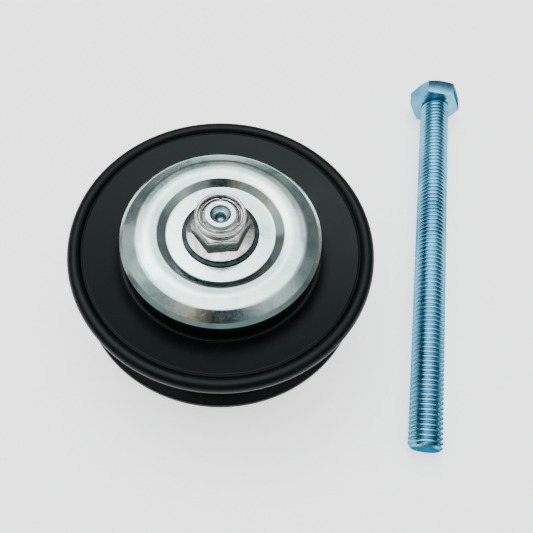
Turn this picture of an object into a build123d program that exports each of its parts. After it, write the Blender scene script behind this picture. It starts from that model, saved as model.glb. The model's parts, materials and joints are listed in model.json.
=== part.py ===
"""Grooved belt tensioner idler with its adjusting bolt laid beside it.

Millimetres, +Z up. The origin is the middle of the slider block's underside, on the
stud axis. The adjusting bolt's hole runs along Y.
"""
import os
from math import asin, cos, radians, sin, tan

from build123d import *

# ---- driving dimensions -------------------------------------------------------------
FACE_Z = 35.0            # height of the front rim's widest circle
RIM_R = 44.0             # front rim
REAR_RIM_R = 42.9        # rear rim, a little smaller
RIM_SPACING = 17.5       # between the two widest circles
GROOVE_HALF_ANGLE = 18.3
FLANGE_T = 3.6           # flange thickness, measured along the axis
CREASE_IN = 4.2          # crease ring, in from the rim
CREASE_H = 1.5           # crease, above the rim's widest circle
BEAD_H = 2.3             # top of the bead, above the same circle
LIP_IN = 1.6             # groove lip, in from the rim
BARREL_R = 28.4          # hub sleeve outside
GROOVE_FLOOR_R = 29.4

BEARING_BORE_R = 8.5     # 17 x 47 x 14 deep-groove bearing
BEARING_R = 23.5
BEARING_W = 14.0
BEARING_Z = 31.0         # middle plane of the bearing
BALL_R = 4.35
BALL_PITCH_R = 16.0
BALL_COUNT = 7
BALL_PLAY = 0.1
INNER_LAND_R = 12.4
OUTER_LAND_R = 19.6
SEAL_RECESS_R = 20.2
SEAL_T = 1.0
SEAL_LIP = 0.2           # the seal's lip is thinner by this on each side
SEAL_GAP = 0.3           # between the lip and the inner ring
RING_FILLET = 0.6
CAGE_HALF_W = 1.2        # half the width of the cage's flat strip
CAGE_T = 1.1
POCKET_PLAY = 0.12       # between a ball and its pocket
POCKET_T = 0.73
RIVET_R = 0.7
RIVET_HEAD_R = 1.1
RIVET_HEAD_T = 0.6

BLOCK_X, BLOCK_Y, BLOCK_H = 26.0, 28.0, 14.0
BLOCK_CORNER_R = 1.5
BLOCK_CHAMFER = 0.8
RAIL_X, RAIL_H = 18.0, 2.0
RAIL_SHORT = 1.0         # how much shorter the rail is than the block
ADJUSTER_Z = 8.0
ADJUSTER_HOLE_R = 4.25   # M10 x 1.5 tapping size
HOLE_CHAMFER = 0.75
STUD_THREAD_R = 5.0      # M10 x 1.5
STUD_END_Z = FACE_Z + 16.0
STUD_END_CHAMFER = 0.9
CENTRE_MOUTH_R = 2.75    # stepped centre drilling in the stud's end
CENTRE_STEP_R = 2.1
CENTRE_R = 1.2
JOURNAL_TOP = 37.5
JOURNAL_CHAMFER = 0.6
FIT = 0.01               # radial clearance of the rings on the journal

COVER_T = 1.2
COVER_R = 28.4
COVER_DROP = 0.8         # the cover's edge, below the recess floor
COVER_HOLE_R = 5.15
COVER_FLOOR_Z = 41.0     # upper side of the recess floor
WASHER_R = 10.9
WASHER_T = 0.5
WASHER_BORE_R = 5.3
WASHER_CHAMFER = 0.2
FACE_GAP = 0.02          # between faces that turn on each other
NUT_AF = 14.0
NUT_FLANGE_R = 9.7
NUT_TOP_Z = FACE_Z + 16.2
NUT_BORE_R = 5.05
NUT_HEX_H = 6.6
NUT_COLLAR_R = 6.95
NUT_NECK_R = 6.6         # under the collar
NUT_TURN = 15.0          # how far the nut stands turned on the stud
LOCK_RING_R = 6.0
LOCK_RING_T = 0.7
LOCK_RING_DEPTH = 1.2    # its seat, below the nut's top
NOTCH = (0.9, 1.1)       # notches in its inner edge

BOLT_R = 5.0             # M10 x 1.5 x 130, fully threaded
BOLT_LENGTH = 130.0
BOLT_AF = 16.0
BOLT_HEAD_H = 6.4
BOLT_TIP_CHAMFER = 0.9
BOLT_HEAD_CHAMFER = 1.5
BOLT_X = 68.0
BOLT_HEAD_Y = 89.0       # its head's inner face
BOLT_TILT = asin((BOLT_AF / 2 - BOLT_R) / BOLT_LENGTH)  # head and tip both touch down

BEARING_BOTTOM = BEARING_Z - BEARING_W / 2
BEARING_TOP = BEARING_Z + BEARING_W / 2
SLOPE = tan(radians(GROOVE_HALF_ANGLE))
SLEEVE_BOTTOM = 19.0
SLEEVE_TOP = 39.6
SLEEVE_EDGE = 0.8
SLEEVE_LIP = 1.7         # lip over the bearing's outer ring
SNAP_T = 1.6
SNAP_GROOVE_R = 24.9
SNAP_W = 1.3             # how far the ring stands in from the bearing's outside
SNAP_GAP = (6.0, 8.0)
EAR_R = 2.2
EAR_HOLE_R = 0.9
EAR_AT = (21.1, 5.5)     # one ear's middle; the other is its mirror image
PLATE_T = 1.0
PLATE_R = 27.0
PLATE_LOW = 16.9         # underside of the dust plate's rim
REAR_SPACER_R = 12.0
FRONT_SPACER_R = 10.5
SPACER_CHAMFER = 0.5


def save(part, name):
    """Label a finished piece and write its STEP file."""
    part.label = name
    export_step(part, f"parts/{name}.step")


def circles(piece, radius):
    """The circular edges of one radius on a piece being built."""
    round_edges = piece.edges().filter_by(GeomType.CIRCLE)
    return round_edges.filter_by(lambda edge: abs(edge.radius - radius) < 1e-3)


def cone_height(radius, rim_r):
    """Height of a flange's outer side above its rim plane."""
    return CREASE_H - (rim_r - CREASE_IN - radius) * SLOPE


def flange(rim_r, rim_z, side):
    """One side of the V groove; side is +1 for the front and -1 for the rear."""

    def at(radius, height):
        return (radius, rim_z + side * height)

    crease = rim_r - CREASE_IN
    lip = rim_r - LIP_IN
    bead_foot = at(crease + 0.1, 1.1)
    with BuildPart() as piece:
        with BuildSketch(Plane.XZ):
            with BuildLine():
                Polyline(
                    at(lip, cone_height(lip, rim_r) - FLANGE_T),
                    at(BARREL_R, cone_height(BARREL_R, rim_r) - FLANGE_T),
                    at(BARREL_R, cone_height(BARREL_R, rim_r)),
                    at(crease - 0.5, cone_height(crease - 0.5, rim_r)),
                    bead_foot,
                )
                ThreePointArc(bead_foot, at(rim_r - 2.4, BEAD_H), at(rim_r, 0))
                ThreePointArc(
                    at(rim_r, 0),
                    at(rim_r - 0.45, -0.92),
                    at(lip, cone_height(lip, rim_r) - FLANGE_T),
                )
            make_face()
        revolve(axis=Axis.Z)
    return piece.part


def turned(points):
    """A closed profile of (radius, height) points turned about the stud axis."""
    with BuildPart() as piece:
        with BuildSketch(Plane.XZ):
            with BuildLine():
                Polyline(*points, close=True)
            make_face()
        revolve(axis=Axis.Z)
    return piece.part


def bearing_ring(bore_r, outer_r, recess):
    """A bearing ring, its raceway cut by the ball circle; recess is its seal step."""
    bottom, top = BEARING_BOTTOM, BEARING_TOP
    with BuildPart() as piece:
        with BuildSketch(Plane.XZ):
            with Locations(((bore_r + outer_r) / 2, BEARING_Z)):
                Rectangle(outer_r - bore_r, BEARING_W)
            with Locations((BALL_PITCH_R, BEARING_Z)):
                Circle(BALL_R + BALL_PLAY, mode=Mode.SUBTRACT)
            if recess:
                for z in (bottom + SEAL_T / 2, top - SEAL_T / 2):
                    with Locations(((bore_r + recess) / 2, z)):
                        Rectangle(recess - bore_r, SEAL_T, mode=Mode.SUBTRACT)
        revolve(axis=Axis.Z)
        fillet(circles(piece, outer_r if recess else bore_r), RING_FILLET)
    return piece.part


def cage_half(side):
    """Half of the riveted ball cage; side is +1 for the front half."""
    plane = Plane.XY.offset(BEARING_Z)
    pocket_r = BALL_R + POCKET_PLAY
    with BuildPart(plane) as piece:
        with BuildSketch(plane):
            Circle(BALL_PITCH_R + CAGE_HALF_W)
            Circle(BALL_PITCH_R - CAGE_HALF_W, mode=Mode.SUBTRACT)
        extrude(amount=side * CAGE_T)
        with PolarLocations(BALL_PITCH_R, BALL_COUNT):
            Sphere(pocket_r + POCKET_T)
        with BuildSketch(plane):
            Circle(BALL_PITCH_R + CAGE_HALF_W)
            Circle(BALL_PITCH_R - CAGE_HALF_W, mode=Mode.SUBTRACT)
        extrude(amount=side * BEARING_W / 2, mode=Mode.INTERSECT)
        with PolarLocations(BALL_PITCH_R, BALL_COUNT):
            Sphere(pocket_r, mode=Mode.SUBTRACT)
        with PolarLocations(BALL_PITCH_R, BALL_COUNT, start_angle=180 / BALL_COUNT):
            Cylinder(RIVET_R, 4 * CAGE_T, mode=Mode.SUBTRACT)
    return piece.part


os.makedirs("parts", exist_ok=True)

# ---- pulley -------------------------------------------------------------------------
REAR_RIM_Z = FACE_Z - RIM_SPACING
save(flange(RIM_R, FACE_Z, 1), "front_flange")
save(flange(REAR_RIM_R, REAR_RIM_Z, -1), "rear_flange")

# The sleeve's rib is the groove floor, and the flanges are pressed on against it.
rib_top = FACE_Z + cone_height(BARREL_R, RIM_R) - FLANGE_T
rib_bottom = REAR_RIM_Z - cone_height(BARREL_R, REAR_RIM_R) + FLANGE_T
lip_r = BEARING_R - SLEEVE_LIP
snap_bottom = BEARING_BOTTOM - SNAP_T
hub_sleeve = turned([
    (BARREL_R, SLEEVE_BOTTOM),
    (BARREL_R, rib_bottom),
    (GROOVE_FLOOR_R, rib_bottom),
    (GROOVE_FLOOR_R, rib_top),
    (BARREL_R, rib_top),
    (BARREL_R, SLEEVE_TOP - SLEEVE_EDGE),
    (BARREL_R - SLEEVE_EDGE, SLEEVE_TOP),
    (lip_r, SLEEVE_TOP),
    (lip_r, BEARING_TOP),
    (BEARING_R, BEARING_TOP),
    (BEARING_R, BEARING_BOTTOM),
    (SNAP_GROOVE_R, BEARING_BOTTOM),
    (SNAP_GROOVE_R, snap_bottom),
    (BEARING_R, snap_bottom),
    (BEARING_R, SLEEVE_BOTTOM),
])
save(hub_sleeve, "hub_sleeve")

ear_x, ear_y = EAR_AT
with BuildPart() as snap_ring:
    with BuildSketch(Plane.XY.offset(snap_bottom)):
        Circle(SNAP_GROOVE_R)
        Circle(BEARING_R - SNAP_W, mode=Mode.SUBTRACT)
        with Locations((BEARING_R, 0)):
            Rectangle(*SNAP_GAP, mode=Mode.SUBTRACT)
        with Locations((ear_x, ear_y), (ear_x, -ear_y)):
            Circle(EAR_R)
        with Locations((ear_x, ear_y), (ear_x, -ear_y)):
            Circle(EAR_HOLE_R, mode=Mode.SUBTRACT)
    extrude(amount=SNAP_T)
save(snap_ring.part, "snap_ring")

save(bearing_ring(OUTER_LAND_R, BEARING_R, SEAL_RECESS_R), "bearing_outer_ring")
seal_lip_r = INNER_LAND_R + SEAL_GAP
seal_body_r = seal_lip_r + 0.5
for name, z in (("bearing_seal_front", BEARING_TOP - SEAL_T), ("bearing_seal_rear", BEARING_BOTTOM)):
    seal = turned([
        (seal_lip_r, z + SEAL_LIP),
        (seal_body_r, z),
        (SEAL_RECESS_R, z),
        (SEAL_RECESS_R, z + SEAL_T),
        (seal_body_r, z + SEAL_T),
        (seal_lip_r, z + SEAL_T - SEAL_LIP),
    ])
    save(seal, name)

# ---- balls and cage -----------------------------------------------------------------
with BuildPart(Plane.XY.offset(BEARING_Z)) as bearing_balls:
    with PolarLocations(BALL_PITCH_R, BALL_COUNT):
        Sphere(BALL_R)
save(bearing_balls.part, "bearing_balls")
save(cage_half(1), "cage_front_half")
save(cage_half(-1), "cage_rear_half")
with BuildPart(Plane.XY.offset(BEARING_Z)) as cage_rivets:
    with PolarLocations(BALL_PITCH_R, BALL_COUNT, start_angle=180 / BALL_COUNT):
        Cylinder(RIVET_R, 2 * CAGE_T)
    rivet_head_z = CAGE_T + RIVET_HEAD_T / 2
    for head_z in (rivet_head_z, -rivet_head_z):
        with Locations((0, 0, head_z)):
            with PolarLocations(BALL_PITCH_R, BALL_COUNT, start_angle=180 / BALL_COUNT):
                Cylinder(RIVET_HEAD_R, RIVET_HEAD_T)
save(cage_rivets.part, "cage_rivets")

# ---- pieces fixed to the slider -----------------------------------------------------
save(bearing_ring(BEARING_BORE_R, INNER_LAND_R, 0), "bearing_inner_ring")

with BuildPart() as slider_stud:
    with BuildSketch(Plane.XY):
        RectangleRounded(BLOCK_X, BLOCK_Y, BLOCK_CORNER_R)
    extrude(amount=BLOCK_H)
    chamfer(slider_stud.faces().sort_by(Axis.Z)[0].edges(), BLOCK_CHAMFER)
    with BuildSketch(Plane.XY.offset(BLOCK_H)):
        Rectangle(RAIL_X, BLOCK_Y - RAIL_SHORT)
    extrude(amount=RAIL_H)
    with BuildSketch(Plane.XZ):
        with BuildLine():
            Polyline(
                (0, BLOCK_H),
                (BEARING_BORE_R - FIT, BLOCK_H),
                (BEARING_BORE_R - FIT, JOURNAL_TOP - JOURNAL_CHAMFER),
                (BEARING_BORE_R - FIT - JOURNAL_CHAMFER, JOURNAL_TOP),
                (STUD_THREAD_R, JOURNAL_TOP),
                (STUD_THREAD_R, STUD_END_Z - STUD_END_CHAMFER),
                (STUD_THREAD_R - STUD_END_CHAMFER, STUD_END_Z),
                (CENTRE_MOUTH_R, STUD_END_Z),
                (CENTRE_STEP_R, STUD_END_Z - 1.0),
                (CENTRE_R, STUD_END_Z - 1.4),
                (CENTRE_R, STUD_END_Z - 3.4),
                (0, STUD_END_Z - 4.1),
                close=True,
            )
        make_face()
    revolve(axis=Axis.Z)
    with BuildSketch(Plane.XZ):
        with Locations((0, ADJUSTER_Z)):
            Circle(ADJUSTER_HOLE_R)
    extrude(amount=BLOCK_Y, both=True, mode=Mode.SUBTRACT)
    chamfer(circles(slider_stud, ADJUSTER_HOLE_R), HOLE_CHAMFER)
save(slider_stud.part, "slider_stud")

spacer_bottom = BLOCK_H + RAIL_H
with BuildPart() as rear_spacer:
    with BuildSketch(Plane.XY.offset(spacer_bottom)):
        Circle(REAR_SPACER_R)
        Circle(BEARING_BORE_R, mode=Mode.SUBTRACT)
    extrude(amount=BEARING_BOTTOM - PLATE_T - spacer_bottom)
    chamfer(circles(rear_spacer, REAR_SPACER_R), SPACER_CHAMFER)
save(rear_spacer.part, "rear_spacer")

# Dished: clamped flat under the inner ring, it drops clear of the sleeve towards its rim.
rear_dust_plate = turned([
    (BEARING_BORE_R, BEARING_BOTTOM - PLATE_T),
    (12.8, BEARING_BOTTOM - PLATE_T),
    (18.6, PLATE_LOW),
    (PLATE_R, PLATE_LOW),
    (PLATE_R, PLATE_LOW + PLATE_T),
    (19.2, PLATE_LOW + PLATE_T),
    (13.4, BEARING_BOTTOM),
    (BEARING_BORE_R, BEARING_BOTTOM),
])
save(rear_dust_plate, "rear_dust_plate")

with BuildPart() as front_spacer:
    with BuildSketch(Plane.XY.offset(BEARING_TOP)):
        Circle(FRONT_SPACER_R)
        Circle(COVER_HOLE_R, mode=Mode.SUBTRACT)
    extrude(amount=COVER_FLOOR_Z - COVER_T - BEARING_TOP)
save(front_spacer.part, "front_spacer")

# Crowned ring, rounded bevel down to the edge, shallow round recess for the nut.
with BuildPart() as front_cover:
    cover_edge = COVER_FLOOR_Z - COVER_DROP
    upper = [
        (COVER_HOLE_R, COVER_FLOOR_Z),
        (15.4, COVER_FLOOR_Z),
        (17.7, COVER_FLOOR_Z + 1.8),
        (20.8, COVER_FLOOR_Z + 2.0),
        (23.9, COVER_FLOOR_Z + 1.92),
        (27.3, COVER_FLOOR_Z + 0.05),
        (COVER_R, cover_edge),
    ]
    lower = [
        (COVER_HOLE_R, COVER_FLOOR_Z - COVER_T),
        (16.0, COVER_FLOOR_Z - COVER_T),
        (18.3, COVER_FLOOR_Z + 0.55),
        (20.8, COVER_FLOOR_Z + 0.8),
        (23.5, COVER_FLOOR_Z + 0.7),
        (26.5, cover_edge + 0.1),
        (COVER_R - COVER_T, cover_edge),
    ]
    with BuildSketch(Plane.XZ):
        with BuildLine():
            FilletPolyline(*upper, radius=[1.0, 1.3, 9.0, 2.6, 3.0])
            FilletPolyline(*lower, radius=[0.5, 0.8, 7.0, 1.5, 0.05])
            Line(upper[0], lower[0])
            Line(upper[-1], lower[-1])
        make_face()
    revolve(axis=Axis.Z)
save(front_cover.part, "front_cover")

# ---- nut, its washer and its locking ring -------------------------------------------
washer_bottom = COVER_FLOOR_Z + FACE_GAP
with BuildPart() as nut_washer:
    with BuildSketch(Plane.XY.offset(washer_bottom)):
        Circle(WASHER_R)
        Circle(WASHER_BORE_R, mode=Mode.SUBTRACT)
    extrude(amount=WASHER_T)
    chamfer(circles(nut_washer, WASHER_R), WASHER_CHAMFER)
save(nut_washer.part, "nut_washer")

nut_bottom = washer_bottom + WASHER_T + FACE_GAP
hex_top = nut_bottom + NUT_HEX_H
ring_seat = NUT_TOP_Z - LOCK_RING_DEPTH
with BuildPart() as flange_nut:
    with BuildSketch(Plane.XY.offset(nut_bottom)):
        RegularPolygon(NUT_AF / 2, 6, major_radius=False, rotation=NUT_TURN)
    extrude(amount=NUT_HEX_H)
    with BuildSketch(Plane.XZ):
        with BuildLine():
            Polyline(
                (0, nut_bottom),
                (NUT_AF, nut_bottom),
                (NUT_AF, hex_top - 4.0),
                (NUT_AF / 2 - 0.2, hex_top),
                (0, hex_top),
                close=True,
            )
        make_face()
    revolve(axis=Axis.Z, mode=Mode.INTERSECT)
    with BuildSketch(Plane.XZ):
        with BuildLine():
            Polyline(
                (NUT_BORE_R, nut_bottom),
                (NUT_FLANGE_R - 0.2, nut_bottom),
                (NUT_FLANGE_R, nut_bottom + 0.2),
                (NUT_FLANGE_R, nut_bottom + 0.5),
                (NUT_NECK_R, nut_bottom + 1.2),
                (NUT_NECK_R, hex_top),
                (NUT_COLLAR_R, NUT_TOP_Z - 1.2),
                (NUT_COLLAR_R, NUT_TOP_Z - 0.5),
                (6.5, NUT_TOP_Z),
                (5.8, NUT_TOP_Z - 0.15),
                (LOCK_RING_R, NUT_TOP_Z - 0.4),
                (LOCK_RING_R, ring_seat),
                (NUT_BORE_R, ring_seat),
                close=True,
            )
        make_face()
    revolve(axis=Axis.Z)
    with BuildSketch(Plane.XY.offset(nut_bottom)):
        Circle(NUT_BORE_R)
    extrude(amount=NUT_TOP_Z - nut_bottom, mode=Mode.SUBTRACT)
save(flange_nut.part, "flange_nut")

with BuildPart() as nut_friction_ring:
    with BuildSketch(Plane.XY.offset(ring_seat)):
        Circle(LOCK_RING_R)
        Circle(NUT_BORE_R, mode=Mode.SUBTRACT)
        with PolarLocations(NUT_BORE_R, 3, start_angle=100):
            Rectangle(*NOTCH, mode=Mode.SUBTRACT)
    extrude(amount=LOCK_RING_T)
save(nut_friction_ring.part, "nut_friction_ring")

# ---- adjusting bolt, lying beside the pulley with its tip towards -Y ----------------
bolt_start = (BOLT_X, BOLT_HEAD_Y, BOLT_AF / 2)
along_bolt = (0, -cos(BOLT_TILT), -sin(BOLT_TILT))
bolt_plane = Plane(origin=bolt_start, x_dir=(1, 0, 0), z_dir=along_bolt)
bolt_section = Plane(origin=bolt_start, x_dir=(1, 0, 0), z_dir=(0, sin(BOLT_TILT), -cos(BOLT_TILT)))
corner_r = BOLT_AF / 3 ** 0.5
with BuildPart() as adjusting_bolt:
    with BuildSketch(bolt_plane):
        RegularPolygon(BOLT_AF / 2, 6, major_radius=False)
    extrude(amount=-BOLT_HEAD_H)
    with BuildSketch(bolt_section):
        with BuildLine():
            Polyline(
                (0, 0),
                (corner_r + 1, 0),
                (corner_r + 1, BOLT_HEAD_CHAMFER - BOLT_HEAD_H),
                (BOLT_AF / 2 - 0.4, -BOLT_HEAD_H),
                (0, -BOLT_HEAD_H),
                close=True,
            )
        make_face()
    revolve(axis=Axis(bolt_start, along_bolt), mode=Mode.INTERSECT)
    with BuildSketch(bolt_plane):
        Circle(BOLT_R)
    extrude(amount=BOLT_LENGTH)
    chamfer(adjusting_bolt.faces().sort_by(Axis.Y)[0].edges(), BOLT_TIP_CHAMFER)
save(adjusting_bolt.part, "adjusting_bolt")
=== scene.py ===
"""Looks for the belt tensioner idler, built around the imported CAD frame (Blender 4.5, metres)."""
import json
import math

import bmesh
import bpy
from mathutils import Matrix, Vector


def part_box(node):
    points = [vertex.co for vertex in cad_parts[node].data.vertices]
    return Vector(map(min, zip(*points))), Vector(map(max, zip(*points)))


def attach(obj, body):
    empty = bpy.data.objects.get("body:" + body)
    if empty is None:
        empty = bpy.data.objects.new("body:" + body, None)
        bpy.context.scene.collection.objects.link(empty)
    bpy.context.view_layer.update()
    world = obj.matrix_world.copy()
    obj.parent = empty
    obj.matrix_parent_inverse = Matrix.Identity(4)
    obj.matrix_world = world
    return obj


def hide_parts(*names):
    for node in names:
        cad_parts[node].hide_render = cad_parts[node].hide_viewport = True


MM = 0.001
COLUMNS = 192            # steps round a small turned piece
WIDE_COLUMNS = 288       # steps round the flanges and the cover
NOTCHED_COLUMNS = 360    # fine enough for the sides of the spring ring's notches

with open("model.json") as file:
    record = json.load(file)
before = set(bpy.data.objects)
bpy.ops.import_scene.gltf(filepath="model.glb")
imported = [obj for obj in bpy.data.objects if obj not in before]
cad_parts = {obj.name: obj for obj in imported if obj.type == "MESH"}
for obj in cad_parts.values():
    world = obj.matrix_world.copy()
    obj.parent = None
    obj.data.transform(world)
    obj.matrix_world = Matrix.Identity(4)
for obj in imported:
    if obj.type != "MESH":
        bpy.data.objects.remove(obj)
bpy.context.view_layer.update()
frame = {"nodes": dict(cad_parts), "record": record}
nodes = frame["nodes"]

# ---- sizes: boxes from the frame, then the part's own dimensions ----------------------
_, front_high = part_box("front_flange")
rear_low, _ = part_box("rear_flange")
nut_low, nut_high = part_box("flange_nut")
ring_low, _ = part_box("nut_friction_ring")
washer_low, washer_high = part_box("nut_washer")
_, stud_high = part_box("slider_stud")
bolt_low, bolt_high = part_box("adjusting_bolt")

RIM_R = 44.0 * MM
REAR_RIM_R = 42.9 * MM
BEAD_H = 2.3 * MM        # top of a rim's bead above the rim's widest circle
RIM_Z = front_high.z - BEAD_H
REAR_RIM_Z = rear_low.z + BEAD_H
BARREL_R = 28.4 * MM
FLANGE_T = 3.6 * MM      # measured along the axis
CREASE_IN = 4.2 * MM     # crease ring, in from the rim
CREASE_H = 1.5 * MM      # crease ring, above the rim's widest circle
BEAD_R = 2.16 * MM       # round section of the rim's bead
BEAD_CENTRE_H = 0.15 * MM
LIP_IN = 1.6 * MM        # groove lip, in from the rim
GROOVE_HALF_ANGLE = 18.3
SLOPE = math.tan(math.radians(GROOVE_HALF_ANGLE))
STUD_R = 5.0 * MM
BOLT_R = 5.0 * MM
BOLT_LENGTH = 130.0 * MM
BOLT_FLATS = 16.0 * MM
BOLT_HEAD_H = 6.4 * MM
BOLT_TILT = math.asin((BOLT_FLATS / 2 - BOLT_R) / BOLT_LENGTH)
BOLT_HEAD_Y = 89.0 * MM
PITCH = 1.5 * MM
THREAD_DEPTH = 0.72 * MM
THREAD_CHAMFER = 0.9 * MM
THREAD_PLAY = 0.01 * MM  # keeps the crests just inside the CAD cylinders
THREAD_COLUMNS = 72
THREAD_SMOOTH_ANGLE = 32
MERGE = 1e-7             # vertices closer than this are one


# ---- mesh helpers -------------------------------------------------------------------
def rounded(points, radii, steps):
    """An open outline with each inner corner rounded by an arc of its own radius."""
    outline = [Vector(points[0])]
    for before, corner, after, radius in zip(points, points[1:], points[2:], radii):
        before, corner, after = Vector(before), Vector(corner), Vector(after)
        to_before = (before - corner).normalized()
        to_after = (after - corner).normalized()
        half = to_before.angle(to_after) / 2
        if radius <= 0 or half > math.radians(89.5):
            outline.append(corner)
            continue
        reach = radius / math.tan(half)
        centre = corner + (to_before + to_after).normalized() * (radius / math.sin(half))
        start = corner + to_before * reach - centre
        end = corner + to_after * reach - centre
        for i in range(steps + 1):
            t = i / steps
            angle = start.angle(end)
            share = (math.sin((1 - t) * angle) * start + math.sin(t * angle) * end) / math.sin(angle)
            outline.append(centre + share)
    outline.append(Vector(points[-1]))
    return outline


def arc(centre, radius, first, last, steps):
    """Points of an arc in the (radius, height) plane; the angles are in degrees."""
    angles = [math.radians(first + (last - first) * i / steps) for i in range(steps + 1)]
    return [Vector((centre[0] + radius * math.cos(a), centre[1] + radius * math.sin(a))) for a in angles]


def mesh_object(name, verts, faces, smooth_angle=35):
    """A closed mesh with its doubles merged, its normals outward and its true edges kept sharp."""
    mesh = bpy.data.meshes.new(name)
    mesh.from_pydata(verts, [], faces)
    bm = bmesh.new()
    bm.from_mesh(mesh)
    bmesh.ops.remove_doubles(bm, verts=bm.verts, dist=MERGE)
    bmesh.ops.dissolve_degenerate(bm, edges=bm.edges, dist=MERGE)
    bmesh.ops.recalc_face_normals(bm, faces=bm.faces)
    bm.to_mesh(mesh)
    bm.free()
    mesh.polygons.foreach_set("use_smooth", [True] * len(mesh.polygons))
    mesh.set_sharp_from_angle(angle=math.radians(smooth_angle))
    piece = bpy.data.objects.new(name, mesh)
    bpy.context.scene.collection.objects.link(piece)
    return piece


def turned(rows, columns):
    """Vertices of rows turned about Z. A row is (radius, height), or a function of the angle that
    gives them, so that a hexagon and its chamfers stay exact."""
    verts = []
    for row in rows:
        for j in range(columns):
            angle = 2 * math.pi * j / columns
            radius, height = row(angle) if callable(row) else row
            verts.append((radius * math.cos(angle), radius * math.sin(angle), height))
    return verts


def lathe(name, rows, columns=COLUMNS, smooth_angle=35):
    """Turn a closed outline about Z. Round a hexagon, columns is a multiple of 6."""
    faces = []
    for i in range(len(rows)):
        above = (i + 1) % len(rows)
        for j in range(columns):
            k = (j + 1) % columns
            faces.append((i * columns + j, i * columns + k, above * columns + k, above * columns + j))
    return mesh_object(name, turned(rows, columns), faces, smooth_angle)


def hex_radius(angle, flats, turn):
    """Distance from a hexagon's middle to its side in the direction of angle."""
    sector = math.pi / 3
    local = (angle - turn + sector / 2) % sector - sector / 2
    return flats / 2 / math.cos(local)


# ---- material helpers ---------------------------------------------------------------
class Shader:
    """A Principled material and short ways to add to its node tree."""

    def __init__(self, name, **values):
        self.material = bpy.data.materials.new(name)
        self.material.use_nodes = True
        self.tree = self.material.node_tree
        self.bsdf = self.tree.nodes["Principled BSDF"]
        for key, value in values.items():
            self.bsdf.inputs[key.replace("_", " ")].default_value = value
        self.coords = self.tree.nodes.new("ShaderNodeTexCoord").outputs["Object"]

    def link(self, output, target):
        self.tree.links.new(output, target)

    def math(self, operation, a, b=0.0):
        node = self.tree.nodes.new("ShaderNodeMath")
        node.operation = operation
        for socket, value in zip(node.inputs, (a, b)):
            if isinstance(value, (int, float)):
                socket.default_value = value
            else:
                self.link(value, socket)
        return node.outputs[0]

    def noise(self, scale, detail=4.0, roughness=0.55, vector=None, distortion=0.0):
        node = self.tree.nodes.new("ShaderNodeTexNoise")
        node.inputs["Scale"].default_value = scale
        node.inputs["Detail"].default_value = detail
        node.inputs["Roughness"].default_value = roughness
        node.inputs["Distortion"].default_value = distortion
        self.link(vector or self.coords, node.inputs["Vector"])
        return node.outputs["Fac"]

    def ramp(self, factor, *stops):
        node = self.tree.nodes.new("ShaderNodeValToRGB")
        elements = node.color_ramp.elements
        while len(elements) < len(stops):
            elements.new(0.5)
        for element, (position, colour) in zip(elements, stops):
            element.position = position
            element.color = (*colour, 1.0)
        self.link(factor, node.inputs["Fac"])
        return node.outputs["Color"]

    def span(self, value, low, high, out_low, out_high):
        node = self.tree.nodes.new("ShaderNodeMapRange")
        for key, number in (("From Min", low), ("From Max", high), ("To Min", out_low), ("To Max", out_high)):
            node.inputs[key].default_value = number
        self.link(value, node.inputs["Value"])
        return node.outputs["Result"]

    def around_z(self):
        """Radius, angle and height about Z."""
        split = self.tree.nodes.new("ShaderNodeSeparateXYZ")
        self.link(self.coords, split.inputs[0])
        x, y, z = split.outputs
        square = self.math("ADD", self.math("MULTIPLY", x, x), self.math("MULTIPLY", y, y))
        return self.math("SQRT", square), self.math("ARCTAN2", y, x), z

    def turning_marks(self, detail, roughness, turns, radial, along):
        """Noise drawn out round Z: turns, radial and along are its scales by angle, radius and height."""
        radius, angle, height = self.around_z()
        swing = self.math("SINE", angle)
        join = self.tree.nodes.new("ShaderNodeCombineXYZ")
        for socket, value, scale in zip(join.inputs, (swing, radius, height), (turns, radial, along)):
            self.link(self.math("MULTIPLY", value, scale), socket)
        return self.noise(1.0, detail, roughness, vector=join.outputs[0])

    def blend(self, mask, colour, other):
        """The colour, with another one laid over it where the mask is 1."""
        mix = self.tree.nodes.new("ShaderNodeMix")
        mix.data_type = "RGBA"
        self.link(mask, mix.inputs[0])
        self.link(colour, mix.inputs[6])
        mix.inputs[7].default_value = (*other, 1.0)
        return mix.outputs[2]

    def darker_towards_bottom(self, colour):
        """Darker towards the bottom: below 30 to 34 mm, the forged block and the foot of its journal are
        darker than the machined stud above.
        """
        _, _, height = self.around_z()
        return self.blend(self.span(height, 30 * MM, 34 * MM, 1.0, 0.0), colour, (0.27, 0.32, 0.34))

    def blued_drilling(self, colour):
        """The blue passivation that stays unworn in the drilling in the stud's end, with tool rings."""
        radius, _, height = self.around_z()
        near_axis = self.span(radius, 2.75 * MM, 2.95 * MM, 1.0, 0.0)
        mask = self.math("MULTIPLY", near_axis, self.math("GREATER_THAN", height, 45 * MM))
        rings = self.span(self.turning_marks(2, 0.5, 0.4, 5200.0, 900.0), 0.42, 0.60, 0.0, 1.0)
        blued = self.blend(mask, colour, (0.36, 0.54, 0.62))
        return self.blend(self.math("MULTIPLY", mask, rings), blued, (0.035, 0.065, 0.085))

    def scuffed_ring(self, colour, start, end):
        """Dark scuffs that thin out from one radius to another, as the nut's flange leaves them."""
        radius, _, _ = self.around_z()
        fade = self.span(radius, start, end, 1.0, 0.0)
        scratch = self.span(self.noise(420, 8, 0.8, distortion=2.0), 0.52, 0.66, 0.0, 0.85)
        return self.blend(self.math("MULTIPLY", fade, scratch), colour, (0.10, 0.16, 0.18))

    def bump(self, height, strength, distance, after=None):
        node = self.tree.nodes.new("ShaderNodeBump")
        node.inputs["Strength"].default_value = strength
        node.inputs["Distance"].default_value = distance
        self.link(height, node.inputs["Height"])
        if after:
            self.link(after, node.inputs["Normal"])
        return node.outputs["Normal"]

    def finish(self, colour, roughness=None, normal=None):
        for key, output in (("Base Color", colour), ("Roughness", roughness), ("Normal", normal)):
            if output:
                self.link(output, self.bsdf.inputs[key])
        return self.material


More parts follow.
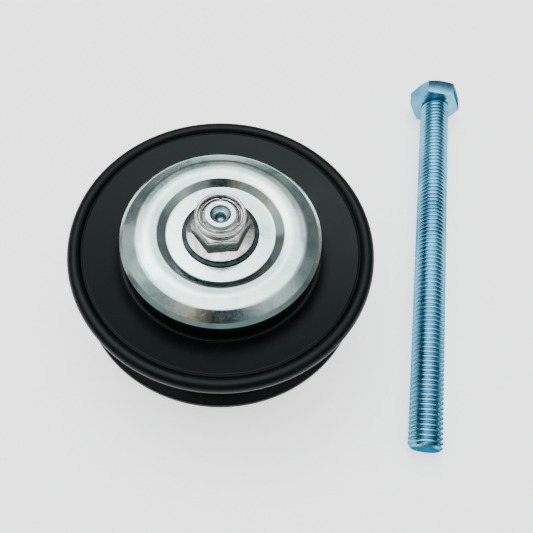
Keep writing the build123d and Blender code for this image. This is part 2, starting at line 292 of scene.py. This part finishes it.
def black_paint():
    """Satin black stoving paint: fine orange peel, a little dust, faint turning marks."""
    s = Shader("satin_black_paint", Specular_IOR_Level=0.12, Specular_Tint=(0.86, 1.0, 1.0, 1.0))
    cloud = s.noise(70, 5, 0.6)
    dust = s.noise(3200, 2, 0.5)
    colour = s.ramp(cloud, (0.30, (0.0010, 0.0018, 0.0020)), (0.72, (0.0022, 0.0032, 0.0031)))
    rough = s.math("ADD", s.span(cloud, 0.3, 0.7, 0.30, 0.38), s.span(dust, 0.35, 0.65, -0.02, 0.04))
    peel = s.noise(1300, 3, 0.5)
    marks = s.turning_marks(3, 0.6, 3.0, 1500.0, 500.0)
    normal = s.bump(marks, 0.12, 0.06 * MM, s.bump(peel, 0.10, 0.06 * MM))
    return s.finish(colour, rough, normal)


def zinc(name, edge, light, dark, rough_low, rough_high, scale, marks=0.05, stud=False, worn=None, warm=None):
    """Zinc plate: soft clouds, faint round drawing marks, fine grain and small dull scuffs.
    A stud is darker towards the bottom and has its blued drilling, and worn gives the radii of a scuffed ring."""
    s = Shader(name, Metallic=1.0, Specular_Tint=(*edge, 1.0))
    cloud = s.noise(scale, 6, 0.62, distortion=0.4)
    fine = s.noise(scale * 9, 4, 0.6)
    scuff = s.noise(scale * 1.7, 8, 0.75, distortion=1.5)
    colour = s.ramp(cloud, (0.30, dark), (0.52, light), (0.72, warm or light))
    if stud:
        colour = s.blued_drilling(s.darker_towards_bottom(colour))
    if worn:
        colour = s.scuffed_ring(colour, *worn)
    spread = s.span(cloud, 0.35, 0.65, rough_low, rough_high)
    dull = s.span(scuff, 0.60, 0.72, 0.0, 0.10)
    rough = s.math("ADD", s.math("ADD", spread, dull), s.span(fine, 0.35, 0.65, -0.03, 0.03))
    rings = s.turning_marks(4, 0.6, 2.0, 1900.0, 500.0)
    normal = s.bump(rings, marks, 0.02 * MM, s.bump(fine, 0.02, 0.01 * MM))
    return s.finish(colour, rough, normal)


def steel(name, light, dark, rough_low, rough_high, grain=700):
    """Plain worked steel with grain, stains and bright rubbed spots."""
    s = Shader(name, Metallic=1.0)
    stain = s.noise(grain * 0.6, 6, 0.65, distortion=0.6)
    fine = s.noise(grain * 5, 3, 0.6)
    colour = s.ramp(stain, (0.32, dark), (0.62, light))
    rough = s.math("ADD", s.span(stain, 0.3, 0.7, rough_high, rough_low), s.span(fine, 0.3, 0.7, -0.04, 0.04))
    return s.finish(colour, rough, s.bump(fine, 0.14, 0.05 * MM, s.bump(stain, 0.10, 0.10 * MM)))


def rubber():
    """Moulded seal rubber, matt with a fine grain."""
    s = Shader("seal_rubber_moulded")
    grain = s.noise(3000, 3, 0.6)
    colour = s.ramp(s.noise(300), (0.3, (0.012, 0.012, 0.012)), (0.7, (0.024, 0.024, 0.024)))
    return s.finish(colour, s.span(grain, 0.3, 0.7, 0.62, 0.78), s.bump(grain, 0.2, 0.06 * MM))


def stage_material(name, colour, roughness, glow):
    """A pale stage surface; the little glow keeps it near white, as a lit sweep is."""
    s = Shader(name, Roughness=roughness, Emission_Color=(1, 1, 1, 1), Emission_Strength=glow)
    pale = tuple(c * 1.01 for c in colour)
    return s.finish(s.ramp(s.noise(12, 3, 0.5), (0.3, colour), (0.7, pale)))


CLEAR_EDGE = (0.9, 1.0, 1.0)
materials = {
    "black_paint": black_paint(),
    "bright_zinc": zinc(
        "bright_zinc_plate", CLEAR_EDGE, light=(0.50, 0.63, 0.62), dark=(0.31, 0.45, 0.47),
        rough_low=0.12, rough_high=0.20, scale=150, warm=(0.62, 0.66, 0.52), worn=(10.5 * MM, 14.0 * MM),
    ),
    "forged_zinc": zinc(
        "forged_zinc_plate", CLEAR_EDGE, light=(0.62, 0.69, 0.72), dark=(0.44, 0.51, 0.54),
        rough_low=0.24, rough_high=0.40, scale=180, stud=True,
    ),
    "blue_zinc": zinc(
        "blue_zinc_plate", (0.05, 0.16, 0.24), light=(0.15, 0.40, 0.54), dark=(0.035, 0.15, 0.26),
        rough_low=0.18, rough_high=0.30, scale=48, marks=0.0,
    ),
    "nut_steel": steel("nut_plated_steel", (0.60, 0.60, 0.58), (0.22, 0.22, 0.212), 0.09, 0.20),
    "bearing_steel": steel("ground_bearing_steel", (0.80, 0.80, 0.80), (0.66, 0.66, 0.67), 0.10, 0.20, 1400),
    "cage_steel": steel("pressed_cage_steel", (0.62, 0.61, 0.58), (0.48, 0.47, 0.45), 0.30, 0.42),
    # The spring steel is made near black as painted shade, for the shadow that falls under the nut's flange
    # onto the washer.
    "spring_steel": steel("spring_steel_painted_shade", (0.020, 0.029, 0.033), (0.008, 0.012, 0.014), 0.25, 0.42),
    "seal_rubber": rubber(),
}


def stand_for(piece, body, slot_name, node):
    """Give a finished piece its material and body, and let it stand for a CAD node."""
    piece.data.materials.append(materials[slot_name])
    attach(piece, body)
    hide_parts(node)


# ---- pulley -------------------------------------------------------------------------
def flange_rows(rim_r, rim_z, side):
    """A flange's closed outline: bead, crease and cone, then the groove side."""
    crease = rim_r - CREASE_IN

    def outer(radius):
        """Height of the cone's upper side at a radius."""
        return CREASE_H - (crease - radius) * SLOPE

    bead = arc((rim_r - BEAD_R, BEAD_CENTRE_H), BEAD_R, 152, -4, 26)
    lip = rim_r - LIP_IN
    foot = BARREL_R + 1.0 * MM
    points = [
        (BARREL_R, outer(BARREL_R) - FLANGE_T),
        (BARREL_R, outer(BARREL_R) + 0.75 * MM),
        (foot, outer(foot) + 0.40 * MM),
        (foot + 0.1 * MM, outer(foot)),
        (crease - 0.55 * MM, outer(crease - 0.55 * MM)),
        (crease, 1.08 * MM),
        (crease + 0.35 * MM, 1.35 * MM),
    ]
    rows = rounded(points, [r * MM for r in (0.05, 0.12, 0.1, 0.35, 0.2)], 5)
    rows += bead
    rows += rounded(
        [tuple(bead[-1]), (rim_r - 0.25 * MM, -0.85 * MM), (lip, outer(lip) - FLANGE_T)],
        [0.5 * MM], 5,
    )[1:]
    return [(row[0], rim_z + side * row[1]) for row in rows]


front = lathe("front_flange_skin", flange_rows(RIM_R, RIM_Z, 1), WIDE_COLUMNS)
rear = lathe("rear_flange_skin", flange_rows(REAR_RIM_R, REAR_RIM_Z, -1), WIDE_COLUMNS)
stand_for(front, "pulley", "black_paint", "front_flange")
stand_for(rear, "pulley", "black_paint", "rear_flange")


# ---- cover --------------------------------------------------------------------------
def cover_rows():
    """Pressed cover: recess floor, wall, crowned ring and rounded bevel, then the underside."""
    recess_floor = washer_low.z - 0.02 * MM
    upper = [
        (5.15, 0.0), (15.4, 0.0), (17.7, 1.70), (20.7, 2.10), (23.9, 1.72), (27.3, 0.05), (28.38, -0.8),
    ]
    lower = [
        (27.2, -0.8), (26.9, -0.6), (23.8, 0.5), (20.8, 0.8), (18.3, 0.4), (16.0, -1.2), (5.15, -1.2),
    ]

    def outline(points, radii, steps):
        return rounded([(r * MM, recess_floor + h * MM) for r, h in points], [r * MM for r in radii], steps)

    return outline(upper, (1.0, 1.4, 13.0, 3.6, 3.0), 14) + outline(lower, (0.1, 4.0, 6.0, 0.6, 0.5), 6)


cover = lathe("front_cover_pressing", cover_rows(), WIDE_COLUMNS)
stand_for(cover, "slider", "bright_zinc", "front_cover")

# ---- nut ----------------------------------------------------------------------------
NUT_FLATS = 14.0 * MM
NUT_TURN = math.radians(45)
NUT_COLUMNS = 216
HEX_TOP_R = 6.80 * MM    # where the top chamfer starts
HEX_CHAMFER = 0.60       # fall of the chamfer for each millimetre outwards
FLANGE_TOP_R = 9.40 * MM
FLANGE_TOP_H = 0.72 * MM
FLANGE_RISE = 0.16       # rise of the flange for each millimetre inwards
nut_base = nut_low.z
nut_top = nut_high.z
hex_top = nut_base + 6.6 * MM


def nut_side(angle):
    """Distance from the nut's axis to its side."""
    return hex_radius(angle, NUT_FLATS, NUT_TURN)


def on_flange(angle, outward, up):
    """A point near where the hexagon rises out of the sloping flange."""
    radius = nut_side(angle)
    height = FLANGE_TOP_H + (FLANGE_TOP_R - radius) * FLANGE_RISE
    return radius + outward * MM, nut_base + height + up * MM


def on_chamfer(angle, outward, up):
    """A point near where the top chamfer cuts the sides, which gives them curved top edges."""
    radius = nut_side(angle)
    return radius + outward * MM, hex_top - (radius - HEX_TOP_R) * HEX_CHAMFER + up * MM


def plain_rings(start, *rings):
    """Plain rings as (radius, height) in millimetres, their heights counted from start."""
    return [(radius * MM, start + height * MM) for radius, height in rings]


nut_rows = [
    *plain_rings(nut_base, (5.05, 0.0), (9.35, 0.0), (9.60, 0.08), (9.70, 0.22), (9.70, 0.45), (9.62, 0.62)),
    (FLANGE_TOP_R, nut_base + FLANGE_TOP_H),
    lambda a: on_flange(a, 0.22, -0.01),
    lambda a: on_flange(a, 0.06, 0.06),
    lambda a: on_flange(a, 0.00, 0.22),
    lambda a: on_chamfer(a, 0.00, -0.12),
    lambda a: on_chamfer(a, -0.05, 0.0),
    *plain_rings(hex_top, (6.80, -0.02), (6.62, 0.02), (6.52, 0.12), (6.50, 0.45), (6.55, 0.80)),
    *plain_rings(
        nut_top, (6.80, -1.55), (6.92, -1.25), (6.95, -0.95), (6.93, -0.60), (6.84, -0.30), (6.68, -0.10),
        (6.45, -0.005), (6.20, -0.03), (5.98, -0.14), (5.86, -0.28), (5.88, -0.40), (6.00, -0.48),
        (6.00, -1.20), (5.05, -1.20),
    ),
]
nut = lathe("flange_nut_body", nut_rows, NUT_COLUMNS, smooth_angle=28)
stand_for(nut, "nut", "nut_steel", "flange_nut")


def washer_rows():
    """A flat washer with its outer edges rounded, the upper one more."""
    bore, radius = 5.3 * MM, washer_high.x
    low, high = washer_low.z, washer_high.z
    return rounded([(bore, low), (radius, low), (radius, high), (bore, high)], [0.12 * MM, 0.3 * MM], 5)


# The washer's near-black spring steel is painted shade: it stands in for the shadow under the nut's flange.
washer = lathe("nut_washer_ring", washer_rows())
stand_for(washer, "washer", "spring_steel", "nut_washer")


def locking_ring():
    """The nut's notched spring ring: a thin washer dished up round the stud, with three gaps."""
    base = ring_low.z
    third = 2 * math.pi / 3
    first_notch = math.radians(100)
    notch_half_angle = 0.08
    notch_r = 5.61

    def notched(angle, inner, up):
        """Inside the notches the inner edge steps back to the notch radius."""
        off = abs((angle - first_notch + third / 2) % third - third / 2)
        return (notch_r if off < notch_half_angle else inner) * MM, base + up * MM

    rows = [
        lambda a: notched(a, 5.08, 0.12),
        *plain_rings(base, (5.97, 0.02), (5.97, 0.30), (5.84, 0.46), (5.75, 0.46), (5.71, 0.20), (5.64, 0.20)),
        lambda a: notched(a, 5.56, 0.50),
        lambda a: notched(a, 5.24, 0.67),
        lambda a: notched(a, 5.08, 0.60),
    ]
    return lathe("nut_spring_ring", rows, NOTCHED_COLUMNS)


spring_ring = locking_ring()
stand_for(spring_ring, "nut", "nut_steel", "nut_friction_ring")


# ---- threads ------------------------------------------------------------------------
THREAD_PROFILE = [       # share of the pitch and of the depth, from one crest to the next
    (0.00, 0.0), (0.09, 0.0), (0.14, 0.06), (0.30, 0.62), (0.40, 0.94),
    (0.50, 1.0), (0.60, 0.94), (0.70, 0.62), (0.86, 0.06),
]


def thread_rows(start, end, radius, depth, lead_in):
    """Rows that follow a helix: going once round, each row climbs by one pitch."""
    turns = int((end - start) / PITCH) + 2

    def make(turn, phase, share):
        def row(angle):
            height = start + (turn + phase - 1 + angle / (2 * math.pi)) * PITCH
            height = min(max(height, start), end)
            size = radius - depth * share
            size = min(size, radius - lead_in + (height - start))
            if height >= end:
                size = radius - depth * 0.5
            if height <= start:
                size = radius - lead_in
            return size, height
        return row

    return [make(turn, phase, share) for turn in range(turns) for phase, share in THREAD_PROFILE]


def threaded_skin(before, threads, after):
    """One closed skin along local Z: rows before the thread, the thread and rows after it. At the
    seam each row of the thread meets the row that lies one turn on."""
    rows = before + threads + after
    columns = THREAD_COLUMNS
    first, last = len(before), len(before) + len(threads) - 1
    faces = []
    for i in range(len(rows) - 1):
        low, high = i * columns, (i + 1) * columns
        for j in range(columns - 1):
            faces.append((low + j, low + j + 1, high + j + 1, high + j))
        here, there = i, i + 1
        if first <= i < last:
            here, there = (min(row + len(THREAD_PROFILE), last) for row in (i, i + 1))
        faces.append((low + columns - 1, here * columns, there * columns, high + columns - 1))
    return turned(rows, columns), faces


# ---- adjusting bolt -----------------------------------------------------------------
def bolt_mesh():
    """The bolt along local Z from its tip: tip face, helical thread and chamfered head."""
    top = BOLT_LENGTH + BOLT_HEAD_H
    tip = [(0.0, 0.0), (BOLT_R - 2 * THREAD_CHAMFER, 0.0)]
    threads = thread_rows(0.0, BOLT_LENGTH, BOLT_R - THREAD_PLAY, THREAD_DEPTH, THREAD_CHAMFER)
    face_r = BOLT_FLATS / 2 - 0.30 * MM

    def side(angle):
        return hex_radius(angle, BOLT_FLATS, math.pi / 2)

    def upper(angle, inward, down):
        drop = (side(angle) - face_r) * 0.55
        return side(angle) - inward * MM, top - drop - down * MM

    def under(angle, inward, up):
        rise = (side(angle) - face_r) * 0.25
        return side(angle) - inward * MM, BOLT_LENGTH + rise + up * MM

    dish = top - 0.12 * MM
    head = [
        (face_r, BOLT_LENGTH),
        lambda a: under(a, 0.06, 0.0),
        lambda a: under(a, 0.0, 0.12),
        lambda a: upper(a, 0.0, 0.14),
        lambda a: upper(a, 0.06, 0.0),
        (face_r - 0.15 * MM, top - 0.02 * MM),
        (face_r - 0.40 * MM, top),
        (face_r - 1.20 * MM, top),
        (face_r - 1.45 * MM, dish),
        (0.0, dish),
    ]
    return threaded_skin(tip, threads, head)


def bolt_place():
    """Local Z runs from the tip to the head, and local Y is up from the flat that it rests on."""
    axis = Vector((0, math.cos(BOLT_TILT), math.sin(BOLT_TILT)))
    up = Vector((0, -math.sin(BOLT_TILT), math.cos(BOLT_TILT)))
    place = Matrix((up.cross(axis), up, axis)).transposed().to_4x4()
    middle_x = (bolt_low.x + bolt_high.x) / 2
    place.translation = Vector((middle_x, BOLT_HEAD_Y, BOLT_FLATS / 2)) - axis * BOLT_LENGTH
    return place


bolt = mesh_object("adjusting_bolt_threaded", *bolt_mesh(), THREAD_SMOOTH_ANGLE)
bolt.data.transform(bolt_place())
stand_for(bolt, "bolt", "blue_zinc", "adjusting_bolt")


# ---- slider block and stud ----------------------------------------------------------
BLOCK_X, BLOCK_Y, BLOCK_H = 26.0 * MM, 28.0 * MM, 14.0 * MM
RAIL_X, RAIL_Y, RAIL_H = 18.0 * MM, 27.0 * MM, 2.0 * MM
JOURNAL_TOP = 37.5 * MM
JOURNAL_FOOT = BLOCK_H - 0.5 * MM  # the journal starts inside the block
ADJUSTER_Z = 8.0 * MM


def rounded_rectangle(size_x, size_y, corner, inset, height, steps=6):
    """One level of a block: a rectangle with rounded corners, drawn in by inset."""
    corner = max(corner - inset, 0.05 * MM)
    ring = []
    for k, (sx, sy) in enumerate(((1, 1), (-1, 1), (-1, -1), (1, -1))):
        centre = Vector((sx * (size_x / 2 - inset - corner), sy * (size_y / 2 - inset - corner), height))
        for i in range(steps + 1):
            angle = math.pi / 2 * (k + i / steps)
            ring.append(centre + Vector((corner * math.cos(angle), corner * math.sin(angle), 0)))
    return ring


def block_mesh():
    """Forged block with a worn bottom edge and a guide rail on top."""
    def block(inset, height):
        return rounded_rectangle(BLOCK_X, BLOCK_Y, 1.5 * MM, inset * MM, height)

    def rail(inset, height):
        return rounded_rectangle(RAIL_X, RAIL_Y, 0.6 * MM, inset * MM, height)

    rail_top = BLOCK_H + RAIL_H
    levels = [
        block(0.95, 0.0), block(0.70, 0.06 * MM), block(0.08, 0.70 * MM), block(0.0, 0.95 * MM),
        block(0.0, BLOCK_H - 0.35 * MM), block(0.10, BLOCK_H - 0.10 * MM), block(0.35, BLOCK_H),
        rail(-0.20, BLOCK_H), rail(0.0, BLOCK_H + 0.20 * MM),
        rail(0.0, rail_top - 0.30 * MM), rail(0.09, rail_top - 0.09 * MM), rail(0.30, rail_top),
    ]
    count = len(levels[0])
    faces = [tuple(reversed(range(count)))]
    for i in range(len(levels) - 1):
        for j in range(count):
            k = (j + 1) % count
            faces.append((i * count + j, i * count + k, (i + 1) * count + k, (i + 1) * count + j))
    faces.append(tuple(range((len(levels) - 1) * count, len(levels) * count)))
    return [v for level in levels for v in level], faces


def stud_mesh():
    """The stud downwards from its end: stepped centre drilling, thread, shoulder and journal."""
    length = stud_high.z - JOURNAL_TOP
    drilling = plain_rings(
        0.0, (0.0, 4.1), (1.2, 3.4), (1.2, 1.75), (1.45, 1.55), (1.5, 1.3), (1.85, 1.15), (1.9, 0.95),
        (2.2, 0.8), (2.25, 0.6), (2.5, 0.45), (2.55, 0.25), (2.75, 0.10), (2.9, 0.0), (3.9, 0.0),
    )
    threads = thread_rows(0.0, length, STUD_R - THREAD_PLAY, THREAD_DEPTH, THREAD_CHAMFER)
    shoulder = plain_rings(length, (5.3, 0.0), (7.8, 0.0), (8.35, 0.45), (8.49, 0.75))
    foot = plain_rings(stud_high.z - JOURNAL_FOOT, (8.49, 0.0), (0.0, 0.0))
    return threaded_skin(drilling, threads, shoulder + foot)


def adjuster_cutter():
    """The adjuster hole's threaded core with its two countersinks, along local Z."""
    depth = 0.75 * MM        # of the thread and of each countersink
    past = 1.0 * MM          # how far the cutter reaches past the block
    threads = thread_rows(depth, BLOCK_Y - depth, BOLT_R, depth, depth)
    before = [(0.0, -past), (BOLT_R + past, -past), (BOLT_R, 0.0)]
    after = [(BOLT_R, BLOCK_Y), (BOLT_R + past, BLOCK_Y + past), (0.0, BLOCK_Y + past)]
    return threaded_skin(before, threads, after)


block = mesh_object("slider_block", *block_mesh())
cutter = mesh_object("adjuster_cutter", *adjuster_cutter())
cutter.matrix_world = Matrix.Translation((0, BLOCK_Y / 2, ADJUSTER_Z)) @ Matrix.Rotation(math.pi / 2, 4, "X")
cut = block.modifiers.new("adjuster_hole", "BOOLEAN")
cut.operation = "DIFFERENCE"
cut.solver = "EXACT"
cut.object = cutter
bpy.context.view_layer.update()
drilled = bpy.data.meshes.new_from_object(block.evaluated_get(bpy.context.evaluated_depsgraph_get()))
stud = mesh_object("slider_stud_forging", *stud_mesh())
stud.data.transform(Matrix.Translation((0, 0, stud_high.z)) @ Matrix.Rotation(math.pi, 4, "X"))
both = bmesh.new()
both.from_mesh(stud.data)
both.from_mesh(drilled)
both.to_mesh(stud.data)
both.free()
stud.data.set_sharp_from_angle(angle=math.radians(THREAD_SMOOTH_ANGLE))
for spare in (block, cutter):
    bpy.data.objects.remove(spare)
stand_for(stud, "slider", "forged_zinc", "slider_stud")

# ---- carried-over CAD nodes ---------------------------------------------------------
for entry in frame["record"]["subparts"]:
    node = nodes[entry["node"]]
    node.data.materials.clear()
    node.data.materials.append(materials[entry["material_slot"]])

# ---- floor, light and camera --------------------------------------------------------
FLOOR_SIZE = 30.0
bpy.ops.mesh.primitive_plane_add(size=FLOOR_SIZE, location=(0, 0, 0))
floor = bpy.context.object
floor.name = "floor"
floor.data.materials.append(stage_material("floor_white", (0.95, 0.95, 0.95), roughness=0.9, glow=1.3))


def studio_world():
    """A tent that is bright overhead and dim near the horizon, so that dark paint stays dark.
    High at the back is a window, brighter to the left, which the cover's flat faces mirror.
    High in front is a dim band, brown on the left and near black on the right, over a teal one."""
    world = bpy.context.scene.world or bpy.data.worlds.new("world")
    bpy.context.scene.world = world
    world.use_nodes = True
    tree = world.node_tree
    new, link = tree.nodes.new, tree.links.new
    split = new("ShaderNodeSeparateXYZ")
    link(new("ShaderNodeTexCoord").outputs["Generated"], split.inputs[0])
    across, along, up = split.outputs

    def ramp(value, stops):
        node = new("ShaderNodeValToRGB")
        node.color_ramp.interpolation = "EASE"
        elements = node.color_ramp.elements
        while len(elements) < len(stops):
            elements.new(0.5)
        for element, (position, colour) in zip(elements, stops):
            element.position = position
            element.color = (*colour, 1.0)
        link(value, node.inputs["Fac"])
        return node.outputs["Color"]

    def stretch(value, low, high):
        node = new("ShaderNodeMapRange")
        node.interpolation_type = "SMOOTHSTEP"
        node.inputs["From Min"].default_value = low
        node.inputs["From Max"].default_value = high
        link(value, node.inputs["Value"])
        return node.outputs["Result"]

    def mix(factor, first, second):
        node = new("ShaderNodeMix")
        node.data_type = "RGBA"
        link(factor, node.inputs[0])
        for socket, colour in ((node.inputs[6], first), (node.inputs[7], second)):
            if isinstance(colour, tuple):
                socket.default_value = (*colour, 1.0)
            else:
                link(colour, socket)
        return node.outputs[2]

    def times(first, *others):
        for other in others:
            node = new("ShaderNodeMath")
            node.operation = "MULTIPLY"
            link(first, node.inputs[0])
            link(other, node.inputs[1])
            first = node.outputs[0]
        return first

    grey = [(0.0, 0.30), (0.22, 0.24), (0.45, 0.20), (0.62, 0.36), (0.78, 1.1), (0.90, 2.2), (1.0, 3.4)]
    dome = ramp(up, [(at, (level * 0.95, level, level * 0.99)) for at, level in grey])
    front = ramp(stretch(across, -0.8, 0.8), [
        (0.0, (0.50, 0.52, 0.52)), (0.20, (0.42, 0.40, 0.37)), (0.28, (0.34, 0.24, 0.175)),
        (0.45, (0.22, 0.145, 0.10)), (0.51, (0.008, 0.014, 0.018)), (0.72, (0.03, 0.045, 0.055)),
        (0.84, (0.30, 0.34, 0.35)), (1.0, (0.50, 0.52, 0.52)),
    ])
    in_front = times(stretch(along, -0.12, -0.36), stretch(up, 0.985, 0.93), stretch(up, 0.18, 0.36))
    facing = mix(stretch(up, 0.69, 0.79), (0.30, 0.38, 0.37), front)
    window = times(
        stretch(up, 0.81, 0.88), stretch(up, 0.945, 0.895), stretch(along, 0.15, 0.30),
        stretch(across, -0.60, -0.30), stretch(across, 0.22, 0.02),
    )
    panes = ramp(stretch(across, -0.30, 0.10), [(0.0, (9.0, 9.3, 9.2)), (1.0, (1.5, 1.72, 1.68))])
    background = tree.nodes["Background"]
    link(mix(in_front, mix(window, dome, panes), facing), background.inputs["Color"])
    background.inputs["Strength"].default_value = 1.0


studio_world()


def softbox(name, location, size, power, colour=(1, 1, 1)):
    """A soft rectangular lamp that faces the pulley."""
    light = bpy.data.lights.new(name, "AREA")
    light.shape = "RECTANGLE"
    light.size, light.size_y = size
    light.energy = power
    light.color = colour
    lamp = bpy.data.objects.new(name, light)
    bpy.context.scene.collection.objects.link(lamp)
    lamp.location = location
    lamp.rotation_euler = (LAMP_TARGET - Vector(location)).to_track_quat("-Z", "Y").to_euler()


LAMP_TARGET = Vector((0, 0, 0.03))
softbox("top_softbox", (-0.15, 0.15, 0.80), (1.0, 0.8), 4.5)
softbox("left_softbox", (-0.62, 0.10, 0.42), (0.45, 0.6), 0.5, (0.92, 0.97, 1.0))

ELEVATION = math.radians(62.34)
AZIMUTH = math.radians(-10.0)
DISTANCE = 4.0 * RIM_R
RISE = 0.149 * RIM_R     # how far the view's axis passes below the pulley's middle
LENS_MM = 41.2
SENSOR_MM = 36.0
SHIFT_X = 0.0863
CLIP = (0.005, 20.0)

ahead = Vector((math.sin(AZIMUTH), math.cos(AZIMUTH), 0))
forward = ahead * math.cos(ELEVATION) - Vector((0, 0, math.sin(ELEVATION)))
upward = ahead * math.sin(ELEVATION) + Vector((0, 0, math.cos(ELEVATION)))
sideways = forward.cross(upward)
camera_data = bpy.data.cameras.new("camera")
camera_data.lens = LENS_MM
camera_data.sensor_width = SENSOR_MM
camera_data.clip_start, camera_data.clip_end = CLIP
camera_data.shift_x = SHIFT_X
camera = bpy.data.objects.new("camera", camera_data)
bpy.context.scene.collection.objects.link(camera)
place = Matrix((sideways, upward, -forward)).transposed().to_4x4()
place.translation = Vector((0, 0, RIM_Z)) - upward * RISE - forward * DISTANCE
camera.matrix_world = place
bpy.context.scene.camera = camera
